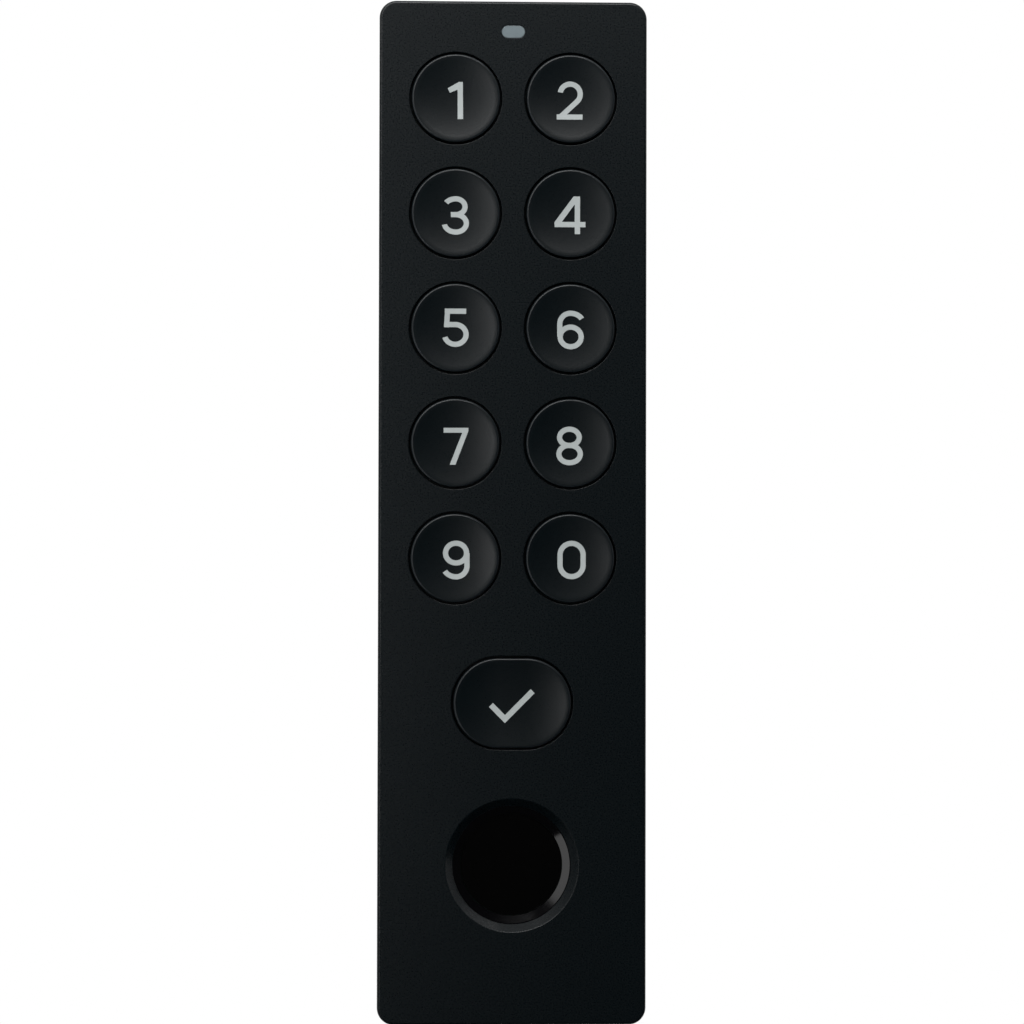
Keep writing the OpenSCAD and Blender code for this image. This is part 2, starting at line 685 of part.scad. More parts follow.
module lock_screw() color([0.6, 0.6, 0.62]) {
    head_bottom = -body_h / 2 + 0.15;
    head_top = lock_seat - 0.05;
    socket_depth = 1.1;
    groove_top = clip_z + clip_t + clip_play;
    difference() {
        upright(0, lock_at, lock_head_d, head_bottom, head_top);
        translate([0, lock_at - body_d, head_bottom - cut])
            cylinder(d = lock_hex, h = socket_depth + cut, $fn = 6);
    }
    upright(0, lock_at, lock_d, head_top, clip_z);
    upright(0, lock_at, groove_d, clip_z, groove_top);
    upright(0, lock_at, lock_d, groove_top, lock_tip);
}

// Flat clip that snaps into the screw's groove and keeps it in the cover
module lock_screw_clip() color([0.5, 0.5, 0.52]) difference() {
    bottom = clip_z + clip_play / 2;
    upright(0, lock_at, 5.8, bottom, bottom + clip_t);
    upright(0, lock_at, groove_d + 0.06, clip_z - cut, clip_z + cut);
    block(0, clip_z, 1.9, 3, lock_at - 5, lock_at);
}

// ---- Assembly ------------------------------------------------------------------------------

front_cover();
status_light_lens();
sensor_bezel();
sensor_gasket();
sensor_pad();
sensor_module();
sensor_retainer();
sensor_retainer_screws();
sensor_flex();
for (i = [0:9]) digit_key(i);
key_enter();
key_mat();
main_board();
board_screws();
key_switches();
key_lamps();
status_lamp();
radio_module();
buzzer();
controller_chips();
board_parts();
flex_socket();
battery_tray();
housing_seal();
housing_screws();
for (i = [0:3]) battery(i);
contact_positive();
contact_negative();
contact_middle(-cell_x, false);  // contact_middle_left
contact_middle(cell_x, true);  // contact_middle_right
contact_bridge();
battery_springs();
wall_plate();
lock_insert();
lock_screw();
lock_screw_clip();
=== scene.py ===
"""A slim black wall keypad with a fingerprint sensor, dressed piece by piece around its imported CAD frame."""
import math

import bmesh
import bpy
from mathutils import Matrix, Vector
from mathutils.geometry import delaunay_2d_cdt


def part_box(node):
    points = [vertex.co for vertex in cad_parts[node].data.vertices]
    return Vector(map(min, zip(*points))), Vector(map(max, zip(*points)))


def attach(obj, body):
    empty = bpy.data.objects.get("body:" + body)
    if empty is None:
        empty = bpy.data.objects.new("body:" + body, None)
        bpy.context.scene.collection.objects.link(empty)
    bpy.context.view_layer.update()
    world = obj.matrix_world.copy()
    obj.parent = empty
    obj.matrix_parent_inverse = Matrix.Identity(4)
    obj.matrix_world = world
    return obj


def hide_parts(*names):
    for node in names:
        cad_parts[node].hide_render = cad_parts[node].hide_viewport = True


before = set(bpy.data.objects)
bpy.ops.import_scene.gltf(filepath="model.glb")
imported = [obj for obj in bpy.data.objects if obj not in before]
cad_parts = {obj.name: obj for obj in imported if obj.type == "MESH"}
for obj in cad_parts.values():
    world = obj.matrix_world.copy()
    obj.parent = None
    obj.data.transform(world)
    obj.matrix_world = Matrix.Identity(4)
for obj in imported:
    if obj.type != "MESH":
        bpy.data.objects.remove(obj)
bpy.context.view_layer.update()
MM = 0.001

# ---- Camera, light and floor -----------------------------------------------------------------
# The keypad is seen almost square from the front, from a little below and to the left of its middle,
# through a long lens. Soft panels above and to the left do most of the lighting. The surroundings are
# white behind the keypad and dim behind the camera, so that its black plastic stays black.
cover_low, cover_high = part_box("front_cover")
FACE_Y = cover_low.y
view_share = 0.9998         # of the cover's height, so that it fills the view from top to bottom
view_height = (cover_high.z - cover_low.z) * view_share
camera_distance = 425 * MM
camera_below = math.radians(1.1)
camera_left = math.radians(2.0)
camera_roll = math.radians(0.12)
aim = Vector((-0.06 * MM, FACE_Y, -0.05 * MM))
camera_data = bpy.data.cameras.new("camera")
camera_data.sensor_width = 36
camera_data.lens = camera_data.sensor_width * camera_distance / view_height
camera = bpy.data.objects.new("camera", camera_data)
bpy.context.collection.objects.link(camera)
away = Vector((-math.sin(camera_left) * math.cos(camera_below),
               -math.cos(camera_left) * math.cos(camera_below),
               -math.sin(camera_below)))
turn = (-away).to_track_quat("-Z", "Y").to_matrix().to_4x4()
roll = Matrix.Rotation(camera_roll, 4, "Z")
camera.matrix_world = Matrix.Translation(aim + away * camera_distance) @ turn @ roll
bpy.context.scene.camera = camera
bpy.context.scene.view_settings.view_transform = "Standard"


def soft_panel(name, azimuth, elevation, size, radiance):
    """A soft light of that size in metres. Its direction in degrees is positive to the right and up."""
    data = bpy.data.lights.new(name, "AREA")
    data.shape = "RECTANGLE"
    data.size, data.size_y = size
    data.energy = radiance * math.pi * size[0] * size[1]
    panel = bpy.data.objects.new(name, data)
    bpy.context.collection.objects.link(panel)
    side, up = math.radians(azimuth), math.radians(elevation)
    toward = Vector((math.sin(side) * math.cos(up), -math.cos(side) * math.cos(up), math.sin(up)))
    panel.location = aim + toward * panel_distance
    panel.rotation_euler = toward.to_track_quat("Z", "Y").to_euler()
    panel.visible_camera = False


panel_distance = 0.40       # metres
soft_panel("top_light", -5, 46, (0.24, 0.11), 14.5)
soft_panel("left_light_high", -26, 28, (0.11, 0.13), 9.0)
soft_panel("left_light_low", -20, -2, (0.06, 0.22), 6.8)
soft_panel("right_light", 20, 30, (0.09, 0.09), 2.0)
soft_panel("left_side_light", -68, 12, (0.11, 1.0), 1.4)
soft_panel("right_side_light", 93, 8, (0.19, 0.37), 1.3)
soft_panel("right_corner_light", 90, 52, (0.19, 0.28), 2.0)
soft_panel("overhead_light", 0, 90, (0.43, 0.24), 1.0)


def hex_colour(code):
    """Linear RGBA of an sRGB hex code such as "#1A2B3C"."""
    parts = [int(code[i:i + 2], 16) / 255 for i in (1, 3, 5)]
    return [c / 12.92 if c <= 0.04045 else ((c + 0.055) / 1.055) ** 2.4 for c in parts] + [1.0]


def add(tree, kind, settings=None, **links):
    """Adds a node. Settings name its properties or sockets, links name sockets, with _ for each space."""
    node = tree.nodes.new(kind)
    for name, value in (settings or {}).items():
        if isinstance(name, str) and hasattr(node, name):
            setattr(node, name, value)
        else:
            node.inputs[name.replace("_", " ") if isinstance(name, str) else name].default_value = value
    for name, source in links.items():
        tree.links.new(source, node.inputs[int(name[1:]) if name[1:].isdigit() else name.replace("_", " ")])
    return node


world = bpy.data.worlds.new("studio")
world.use_nodes = True
tree = world.node_tree
around = add(tree, "ShaderNodeTexCoord")
parts = add(tree, "ShaderNodeSeparateXYZ", Vector=around.outputs["Generated"])
dim, bright = 0.015, 0.9        # strength of the surroundings behind the camera and behind the keypad
behind = add(tree, "ShaderNodeMapRange", {"From_Min": 0.0, "From_Max": 0.35, "To_Min": dim, "To_Max": bright},
             Value=parts.outputs["Y"])
seen = add(tree, "ShaderNodeLightPath")
strength = add(tree, "ShaderNodeMix", {"data_type": "FLOAT", 3: 1.0}, Factor=seen.outputs["Is Camera Ray"],
               A=behind.outputs["Result"])
tree.links.new(strength.outputs[0], tree.nodes["Background"].inputs["Strength"])
tree.nodes["Background"].inputs["Color"].default_value = (1, 1, 1, 1)
bpy.context.scene.world = world


def new_material(name, colour, roughness, **settings):
    """A material with its uniform values set on the shader's own sockets: (material, node tree, shader)."""
    material = bpy.data.materials.new(name)
    material.use_nodes = True
    shader = material.node_tree.nodes["Principled BSDF"]
    shader.inputs["Base Color"].default_value = hex_colour(colour)
    shader.inputs["Roughness"].default_value = roughness
    for socket, value in settings.items():
        shader.inputs[socket.replace("_", " ")].default_value = value
    return material, material.node_tree, shader


floor_drop = 90 * MM        # it hangs on a wall, so the floor lies lower, out of the front view
floor_radius = 0.6          # metres
floor_sides = 96
floor_data = bpy.data.meshes.new("floor")
floor_turns = [k * math.tau / floor_sides for k in range(floor_sides)]
floor_z = cover_low.z - floor_drop
ring = [(floor_radius * math.cos(a), floor_radius * math.sin(a), floor_z) for a in floor_turns]
floor_data.from_pydata(ring, [], [range(floor_sides)])
floor = bpy.data.objects.new("floor", floor_data)
bpy.context.collection.objects.link(floor)
pale_floor, _, _ = new_material("matt_white_board", "#E6E6E4", 0.9)
floor_data.materials.append(pale_floor)
floor.visible_glossy = False

# ---- Front cover -----------------------------------------------------------------------------
# The housing is one injection moulding of black ABS. The spark-eroded mould leaves a fine matt
# texture, and a small radius on the outer edges and round the openings.
cover_edge = 0.38 * MM
opening_edge = 0.07 * MM
cover_corner = 2.35 * MM    # a little over the radius of the cover's upright corners
touching = 0.01 * MM        # nearer than this counts as lying on a face
moulded_abs, tree, shader = new_material("moulded_black_abs", "#02080B", 0.30, IOR=1.33)


def grain(tree, shader, size_mm, height_mm, vary=0.0):
    """Gives a surface an even grain of that size and height, and a roughness that varies with it."""
    place = add(tree, "ShaderNodeTexCoord")
    noise = add(tree, "ShaderNodeTexNoise", {"Scale": 1 / (size_mm * MM), "Detail": 2.0},
                Vector=place.outputs["Object"])
    bump = add(tree, "ShaderNodeBump", {"Strength": 1.0, "Distance": height_mm * MM},
               Height=noise.outputs["Fac"])
    tree.links.new(bump.outputs["Normal"], shader.inputs["Normal"])
    if vary:
        middle = shader.inputs["Roughness"].default_value
        spread = add(tree, "ShaderNodeMapRange", {"From_Min": 0.3, "From_Max": 0.7, "To_Min": middle - vary,
                                                 "To_Max": middle + vary}, Value=noise.outputs["Fac"])
        tree.links.new(spread.outputs["Result"], shader.inputs["Roughness"])
    return noise


def tinted(tree, shader, size_mm, first, second):
    """Lets the colour drift between two near tones, in clouds of that size."""
    place = add(tree, "ShaderNodeTexCoord")
    cloud = add(tree, "ShaderNodeTexNoise", {"Scale": 1 / (size_mm * MM), "Detail": 3.0},
                Vector=place.outputs["Object"])
    mix = add(tree, "ShaderNodeMix", {"data_type": "RGBA", 6: hex_colour(first), 7: hex_colour(second)},
              Factor=cloud.outputs["Fac"])
    tree.links.new(mix.outputs[2], shader.inputs["Base Color"])
    return mix


grain(tree, shader, 0.2, 0.010, vary=0.06)
tinted(tree, shader, 14, "#010609", "#02080B")


def finish_piece(name, mesh, body, material, nodes, smooth_below=35):
    """Makes the object of a finished mesh, shades it, and tells the frame what it is."""
    for each in material if isinstance(material, list) else [material]:
        mesh.materials.append(each)
    mesh.shade_smooth()
    mesh.set_sharp_from_angle(angle=math.radians(smooth_below))
    piece = bpy.data.objects.new(name, mesh)
    bpy.context.collection.objects.link(piece)
    # Flat faces stay flat right up to their rounded edges
    even = piece.modifiers.new("even", "WEIGHTED_NORMAL")
    even.keep_sharp = True
    even.weight = 80
    ready = bpy.data.meshes.new_from_object(piece.evaluated_get(bpy.context.evaluated_depsgraph_get()))
    piece.modifiers.clear()
    piece.data = ready
    bpy.data.meshes.remove(mesh)
    ready.name = name
    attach(piece, body)
    if nodes:
        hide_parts(*nodes)
    return piece


def merged_copy(node):
    """A bmesh of a CAD node with its loose triangles joined and its flat faces dissolved."""
    shell = bmesh.new()
    shell.from_mesh(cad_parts[node].data)
    bmesh.ops.remove_doubles(shell, verts=shell.verts, dist=0.5e-6)
    bmesh.ops.dissolve_limit(shell, angle_limit=math.radians(0.5), verts=shell.verts, edges=shell.edges)
    return shell


def round_edges(shell, width, segments=2, chosen=None):
    """Bevels the sharp edges, or those whose middle is chosen."""
    picked = [e for e in shell.edges
              if len(e.link_faces) == 2 and e.calc_face_angle(0) > math.radians(25)
              and (chosen is None or chosen((e.verts[0].co + e.verts[1].co) / 2))]
    bmesh.ops.bevel(shell, geom=picked, offset=width, offset_type="OFFSET", segments=segments, profile=0.5,
                    affect="EDGES", clamp_overlap=True)


def to_mesh(name, shell):
    """A mesh of the finished bmesh, its doubles merged and its faces turned outwards."""
    bmesh.ops.remove_doubles(shell, verts=shell.verts, dist=0.2e-6)
    bmesh.ops.recalc_face_normals(shell, faces=shell.faces)
    mesh = bpy.data.meshes.new(name)
    shell.to_mesh(mesh)
    shell.free()
    return mesh


def on_face(p):
    """Whether a point lies on the front face."""
    return abs(p.y - FACE_Y) < touching


def on_outline(p):
    """Whether a point lies on the cover's outline, seen from the front."""
    by_side = cover_high.x - abs(p.x)
    by_end = cover_high.z - abs(p.z)
    return min(by_side, by_end) < touching or (by_side < cover_corner and by_end < cover_corner)


shell = merged_copy("front_cover")
round_edges(shell, cover_edge, 5, lambda p: on_face(p) and on_outline(p))
round_edges(shell, opening_edge, 3, lambda p: on_face(p) and not on_outline(p))
finish_piece("cover", to_mesh("cover", shell), "housing", moulded_abs, ["front_cover"])

# ---- Digit keys ------------------------------------------------------------------------------
# Each key is a two-shot moulding: a satin black cap, dished for the fingertip, with a flange that
# keeps it behind the cover, and a hollow underside round the stem that presses on the mat. Its sizes are
# in mm, and depths count from the front face towards the wall.
rim_r = 5.65                # of the dish
cap_r = 5.95
flange_r = 6.75
proud = 0.35                # how far the cap stands out of the cover
dish = 0.45
edge_r = 0.27
cap_back = 2.45
flange_front = 1.85
roof = 1.55                 # depth of the hollow's roof
stem_r = 2.0
hollow_r = 4.95
dish_steps = 12             # loops from the dish's axis to its rim
satin_cap, tree, shader = new_material("satin_black_key_plastic", "#02080A", 0.31, IOR=1.33)
grain(tree, shader, 0.10, 0.003, vary=0.04)
drift = tinted(tree, shader, 6, "#010609", "#02080B")
# Painted highlight: the rim's rounded edge is painted lighter than the rest, in place of the light it catches
painted_rim_highlight = add(tree, "ShaderNodeAttribute", {"attribute_name": "painted_rim_highlight"})
rim_highlight_mix = add(tree, "ShaderNodeMix", {"data_type": "RGBA", 7: hex_colour("#12171A")},
           Factor=painted_rim_highlight.outputs["Fac"])
tree.links.new(drift.outputs[2], rim_highlight_mix.inputs[6])
tree.links.new(rim_highlight_mix.outputs[2], shader.inputs["Base Color"])


def dish_depth(d, rim):
    """How deep the dish is, in mm, at the distance d from its axis."""
    ball = (rim * rim + dish * dish) / (2 * dish)
    return dish - (ball - math.sqrt(ball * ball - min(d, rim) ** 2))


def round_loop(x, z, r, depth, reach=0.0, n=96):
    """Points in mm round a circle at [x, z], or round a slot with round ends when it has a reach."""
    loop = []
    for k in range(n + 2):
        right = k <= n / 2
        a = math.tau * (k - (0 if right else 1)) / n - math.pi / 2
        loop.append(Vector((x + (reach if right else -reach) + r * math.cos(a), depth, z + r * math.sin(a))))
    return loop


def skin(loops, closed=False, painted_rim_highlight=()):
    """A bmesh through loops of equally many points in mm, whose y is the depth behind the front face."""
    shell = bmesh.new()
    rim_highlight_layer = shell.verts.layers.float.new("painted_rim_highlight") if painted_rim_highlight else None
    rows = [[shell.verts.new((p.x * MM, FACE_Y + p.y * MM, p.z * MM)) for p in loop] for loop in loops]
    # The listed loops on the cap's rounded edge are marked for the painted highlight, a lighter colour there
    for i in painted_rim_highlight:
        for v in rows[i]:
            v[rim_highlight_layer] = 1.0
    for a, b in zip(rows, rows[1:] + ([rows[0]] if closed else [])):
        for k in range(len(a)):
            j = (k + 1) % len(a)
            shell.faces.new((a[k], a[j], b[j], b[k]))
    bmesh.ops.remove_doubles(shell, verts=shell.verts, dist=1e-7)
    bmesh.ops.dissolve_degenerate(shell, edges=shell.edges, dist=1e-7)
    return shell


def arc_profile(r, depth, radius, first, last, steps=4):
    """Points (r, depth) of a rounded edge of that radius from one angle to another, in degrees."""
    return [(r + radius * math.cos(math.radians(first + (last - first) * k / steps)),
             depth + radius * math.sin(math.radians(first + (last - first) * k / steps)))
            for k in range(steps + 1)]


def cap_profile(inset):
    """The cap from the dish's axis to the stem, as (distance from the axis, depth), for a round key."""
    rim, cap, flange = rim_r + inset, cap_r + inset, flange_r + inset
    lip = 0.05
    steps = [rim * k / dish_steps for k in range(dish_steps + 1)]
    return ([(d, -proud + dish_depth(d, rim)) for d in steps]
            + [(cap - edge_r - 0.02, -proud)] + arc_profile(cap - edge_r, -proud + edge_r, edge_r, -90, 0, 5)
            + [(cap, flange_front)]
            + arc_profile(flange - lip, flange_front + lip, lip, -90, 0, 2)
            + arc_profile(flange - lip, cap_back - lip, lip, 0, 90, 2)
            + [(hollow_r + inset, cap_back), (hollow_r + inset, roof)])


rim_rows = (dish_steps + 3, dish_steps + 4)     # the loops of the profile on the cap's rounded edge


def middle(node):
    """The middle of a node's box as x and z, in mm."""
    low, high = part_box(node)
    return (low.x + high.x) / 2 / MM, (low.z + high.z) / 2 / MM


digit_nodes = ["key_1", "key_2", "key_3", "key_4", "key_5", "key_6", "key_7", "key_8", "key_9", "key_0"]
for node in digit_nodes:
    x, z = middle(node)
    profile = cap_profile(0) + [(stem_r, roof), (stem_r, cap_back), (0, cap_back)]
    shell = skin([round_loop(x, z, r, depth) for r, depth in profile], painted_rim_highlight=rim_rows)
    finish_piece(node + "_cap", to_mesh(node + "_cap", shell), node, satin_cap, [node])

# ---- Enter key -------------------------------------------------------------------------------
# The wide key is made like the digit keys. Its dish is a trough with round ends.
enter_reach = 1.9
enter_inset = 0.05          # its half height over a digit key's radius
x, z = middle("key_enter")
loops = [round_loop(x, z, r, depth, enter_reach) for r, depth in cap_profile(enter_inset)]
loops += [round_loop(x, z, r, depth) for r, depth in ((stem_r, roof), (stem_r, cap_back), (0, cap_back))]
shell = skin(loops, painted_rim_highlight=rim_rows)
finish_piece("key_enter_cap", to_mesh("key_enter_cap", shell), "key_enter", satin_cap,
             ["key_enter"])

# ---- Legends ---------------------------------------------------------------------------------
# The digits and the check mark are the second shot of each key: pale grey translucent plastic that
# comes up level with the dish, so that the lamp behind can light it. Sizes are in mm.
stroke_w = 0.70
four_w = 0.72               # the 4 has slightly heavier strokes
check_half = 0.293          # from the check mark's middle line to its edge, along each axis
check_corner = 0.587        # from the corner of its middle line to its own, up and down
legend_lift = 0.012         # a hair proud of the dish, so that the two surfaces don't fight
legend_depth = 0.06
bow_step = 7                # degrees of a curved stroke from one cut to the next
piece_l = 0.4               # strokes are cut this short to follow the dish
pale_shot, tree, shader = new_material("pale_grey_translucent_shot", "#949A9A", 0.42)
shader.inputs["Subsurface Weight"].default_value = 0.05
shader.inputs["Subsurface Radius"].default_value = (0.0004, 0.0004, 0.0004)
grain(tree, shader, 0.12, 0.002, vary=0.04)
tinted(tree, shader, 1.5, "#909696", "#989E9E")


def bar(a, b, w=stroke_w):
    """A straight stroke from a to b with square ends."""
    a, b = Vector(a), Vector(b)
    side = Vector((a.y - b.y, b.x - a.x)).normalized() * w / 2
    n = max(1, math.ceil((b - a).length / piece_l))
    return [[a.lerp(b, k / n) - side, a.lerp(b, (k + 1) / n) - side, a.lerp(b, (k + 1) / n) + side,
             a.lerp(b, k / n) + side] for k in range(n)]


def bow(x, z, rx, rz, first, last, w=stroke_w):
    """A stroke along an ellipse from one angle to another, in degrees."""
    n = max(4, math.ceil(abs(last - first) / bow_step))
    inner, outer = [], []
    for k in range(n + 1):
        a = math.radians(first + (last - first) * k / n)
        p = Vector((x + rx * math.cos(a), z + rz * math.sin(a)))
        out = Vector((rz * math.cos(a), rx * math.sin(a))).normalized() * w / 2
        inner.append(p - out)
        outer.append(p + out)
    return [[inner[k], outer[k], outer[k + 1], inner[k + 1]] for k in range(n)]


def outline(points, slim=0.035):
    """A filled outline, drawn in by slim on every side, with its long edges cut."""
    corners = [Vector(p) for p in points]
    turn = 1 if sum(a.cross(b) for a, b in zip(corners, corners[1:] + corners[:1])) > 0 else -1
    slimmer = []
    for before, here, after in zip(corners[-1:] + corners, corners, corners[1:] + corners[:1]):
        u, v = (here - before).normalized(), (after - here).normalized()
        inward = Vector((-u.y - v.y, u.x + v.x)) * turn
        slimmer.append(here + inward * slim / (1 + u.dot(v)))
    loop = []
    for a, b in zip(slimmer, slimmer[1:] + slimmer[:1]):
        n = max(1, math.ceil((b - a).length / piece_l))
        loop += [a.lerp(b, j / n) for j in range(n)]
    return [loop]


def six(turned):
    """The shapes of a 6, or of a 9, which is a 6 turned round."""
    strokes = (bar((-1.41, -1.14), (-1.41, 0.59)) + bow(0.03, 0.59, 1.44, 1.45, 180, 90)
               + bow(0.03, 0.59, 1.73, 1.45, 90, 28.6) + bow(0.06, -1.14, 1.41, 1.32, 0, 360))
    if not turned:
        return strokes
    return [[Vector((0.23, -0.47)) - p for p in shape] for shape in strokes]


# Each is drawn in strokes, by x and z in mm from the middle of its key
legends = {
    "1": outline([(-1.15, 1.36), (0.39, 2.24), (0.97, 2.24), (1.02, -2.83), (0.21, -2.85), (0.2, 1.13),
                  (-0.82, 0.70)]),
    "2": (bow(-0.06, 0.67, 1.35, 1.35, 170, -47) + bar((0.86, -0.32), (-1.39, -2.42))
          + bar((-1.88, -2.42), (1.6, -2.42))),
    "3": (bow(0.03, 0.85, 1.48, 1.06, 150, 90) + bow(0.03, 0.85, 1.24, 1.06, 90, -90)
          + bar((-0.64, -0.21), (0.03, -0.21)) + bow(0.03, -1.39, 1.42, 1.18, 90, -90)
          + bow(0.03, -1.39, 1.52, 1.18, -90, -172)),
    "4": (bar((0.935, 2.31), (0.935, -2.76), four_w) + bar((-2.14, -1.465), (2.02, -1.465), four_w)
          + outline([(0.39, 2.35), (1.0, 2.35), (1.0, 1.17), (0.54, 1.17), (-1.09, -1.07), (-1.09, -1.5),
                     (-2.18, -1.5), (-2.18, -1.13)])),
    "5": (bar((-1.42, 2.24), (1.45, 2.24)) + bar((-1.05, 2.24), (-1.18, 0.07))
          + bar((-1.18, 0.45), (0.12, 0.45)) + bow(0, -0.88, 1.45, 1.33, 90, -164)),
    "6": six(False),
    "7": outline([(-1.57, 2.06), (1.82, 2.06), (1.82, 1.6), (0.09, -2.97), (-0.76, -2.97), (0.91, 1.33),
                  (-1.57, 1.33)]),
    "8": bow(-0.09, 0.80, 1.32, 1.09, 0, 360) + bow(-0.06, -1.44, 1.44, 1.17, 0, 360),
    "9": six(True),
    "0": (bow(0.23, 0.46, 1.55, 1.55, 0, 180) + bow(0.23, -0.90, 1.55, 1.55, 180, 360)
          + bar((-1.32, -0.90), (-1.32, 0.46)) + bar((1.78, -0.90), (1.78, 0.46))),
    "enter": outline([
        (-2.85 - check_half, -0.24 - check_half), (-0.95, -2.155 - check_corner),
        (2.785 + check_half, 1.61 - check_half), (2.785 - check_half, 1.61 + check_half),
        (-0.95, -2.155 + check_corner), (-2.85 + check_half, -0.24 + check_half)]),
}


def legend_shell(shapes, x, z, rim, reach):
    """Joins the shapes into one flat figure, lays it in the dish and gives it its depth."""
    points, faces = [], []
    for shape in shapes:
        if sum(a.cross(b) for a, b in zip(shape, shape[1:] + shape[:1])) < 0:
            shape = shape[::-1]         # the triangulation wants each shape anticlockwise
        faces.append(list(range(len(points), len(points) + len(shape))))
        points += shape
    # Only triangles that lie in one of the shapes are kept, so the holes stay open
    flat, _, triangles, _, _, sources = delaunay_2d_cdt(points, [], faces, 0, 1e-4)
    shell = bmesh.new()
    spots = []
    for p in flat:
        d = math.hypot(max(abs(p.x) - reach, 0), p.y)
        depth = -proud + dish_depth(d, rim) - legend_lift
        spots.append(shell.verts.new(((x + p.x) * MM, FACE_Y + depth * MM, (z + p.y) * MM)))
    front = [shell.faces.new([spots[i] for i in t]) for t, source in zip(triangles, sources) if source]
    back = bmesh.ops.extrude_face_region(shell, geom=front)["geom"]
    for v in back:
        if isinstance(v, bmesh.types.BMVert):
            v.co.y += legend_depth * MM
    bmesh.ops.delete(shell, geom=[v for v in shell.verts if not v.link_faces], context="VERTS")
    return shell


for digit, shapes in legends.items():
    node = "key_" + digit
    x, z = middle(node)
    rim, reach = (rim_r + enter_inset, enter_reach) if digit == "enter" else (rim_r, 0)
    shell = legend_shell(shapes, x, z, rim, reach)
    finish_piece("legend_" + digit, to_mesh("legend_" + digit, shell), node, pale_shot, None)

# ---- Status light ----------------------------------------------------------------------------
# A smoke-grey polycarbonate light pipe shows as a small slot-shaped window above the keys.
smoke_lens, tree, shader = new_material("smoke_grey_polycarbonate", "#656F73", 0.22)
grain(tree, shader, 0.3, 0.002)
tinted(tree, shader, 1.2, "#5F696D", "#6B7579")
shell = merged_copy("status_light_lens")
round_edges(shell, 0.08 * MM, 2)
finish_piece("status_light", to_mesh("status_light", shell), "housing", smoke_lens,
             ["status_light_lens"])

# ---- Fingerprint sensor ----------------------------------------------------------------------
# A polished black ring slopes in to the touch pad, which is a round chip under hard gloss coating.
# A foam gasket seals the ring to the cover from behind.
x, z = middle("sensor_pad")
polished_ring, tree, shader = new_material("polished_black_polycarbonate", "#020203", 0.12)
grain(tree, shader, 2.0, 0.004)
# Its section as (distance from the axis, depth) in mm, from the bore over the slope to the flange behind
ring_section = [(6.85, 2.45), (6.85, 1.66), (7.82, 0.96), (7.9, 0.96), (7.9, 2.15), (9.25, 2.15),
                (9.25, 2.45)]
loops = [round_loop(x, z, r, depth) for r, depth in ring_section]
finish_piece("sensor_ring", to_mesh("sensor_ring", skin(loops, closed=True)), "housing", polished_ring,
             ["sensor_bezel"], smooth_below=20)
coated_pad, tree, shader = new_material("gloss_coated_sensor", "#010101", 0.10, Coat_Weight=0.3)
grain(tree, shader, 5.0, 0.003)
pad_r, pad_front, pad_back, pad_edge = 6.8, 2.0, 2.45, 0.02
pad_inner = 3               # one more loop between the pad's axis and its edge
pad_section = ([(0, pad_front), (pad_inner, pad_front)]
               + arc_profile(pad_r - pad_edge, pad_front + pad_edge, pad_edge, -90, 0, 2)
               + [(pad_r, pad_back), (pad_inner, pad_back), (0, pad_back)])
loops = [round_loop(x, z, r, depth) for r, depth in pad_section]
finish_piece("touch_pad", to_mesh("touch_pad", skin(loops)), "housing", coated_pad,
             ["sensor_pad"])


def softened(node, width, segments=2):
    """A mesh of a CAD node with all its sharp edges rounded by width mm."""
    shell = merged_copy(node)
    round_edges(shell, width * MM, segments)
    return to_mesh(node, shell)


closed_foam, tree, shader = new_material("black_closed_cell_foam", "#17181A", 0.9)
grain(tree, shader, 0.25, 0.03, vary=0.08)
finish_piece("foam_gasket", softened("sensor_gasket", 0.06), "housing", closed_foam,
             ["sensor_gasket"])
green_mask, tree, shader = new_material("green_solder_mask", "#0E3A26", 0.32, Coat_Weight=0.3)
grain(tree, shader, 0.4, 0.004)
place = add(tree, "ShaderNodeTexCoord")
# Copper tracks show faintly through the mask, with bare tinned holes between them. The wave node's bands
# run at 20 times its scale.
track_pitch = 0.6 * MM
hole_pitch = 3.2 * MM
tracks = add(tree, "ShaderNodeTexWave", {"Scale": math.tau / 20 / track_pitch, "bands_direction": "Z"},
             Vector=place.outputs["Object"])
line = add(tree, "ShaderNodeMapRange", {"From Min": 0.55, "From Max": 0.75, "To Max": 0.6},
           Value=tracks.outputs["Fac"])
mask = add(tree, "ShaderNodeMix", {"data_type": "RGBA", 6: hex_colour("#0C3522"), 7: hex_colour("#134A30")},
           Factor=line.outputs[0])
holes = add(tree, "ShaderNodeTexVoronoi", {"Scale": 1 / hole_pitch, "Randomness": 0.7},
            Vector=place.outputs["Object"])
bare = add(tree, "ShaderNodeMath", {"operation": "LESS_THAN", 1: 0.07}, _0=holes.outputs["Distance"])
both = add(tree, "ShaderNodeMix", {"data_type": "RGBA", 7: hex_colour("#9FA6A0")}, Factor=bare.outputs[0])
tree.links.new(mask.outputs[2], both.inputs[6])
tree.links.new(both.outputs[2], shader.inputs["Base Color"])
finish_piece("sensor_chip", softened("sensor_module", 0.08), "housing", green_mask,
             ["sensor_module"])

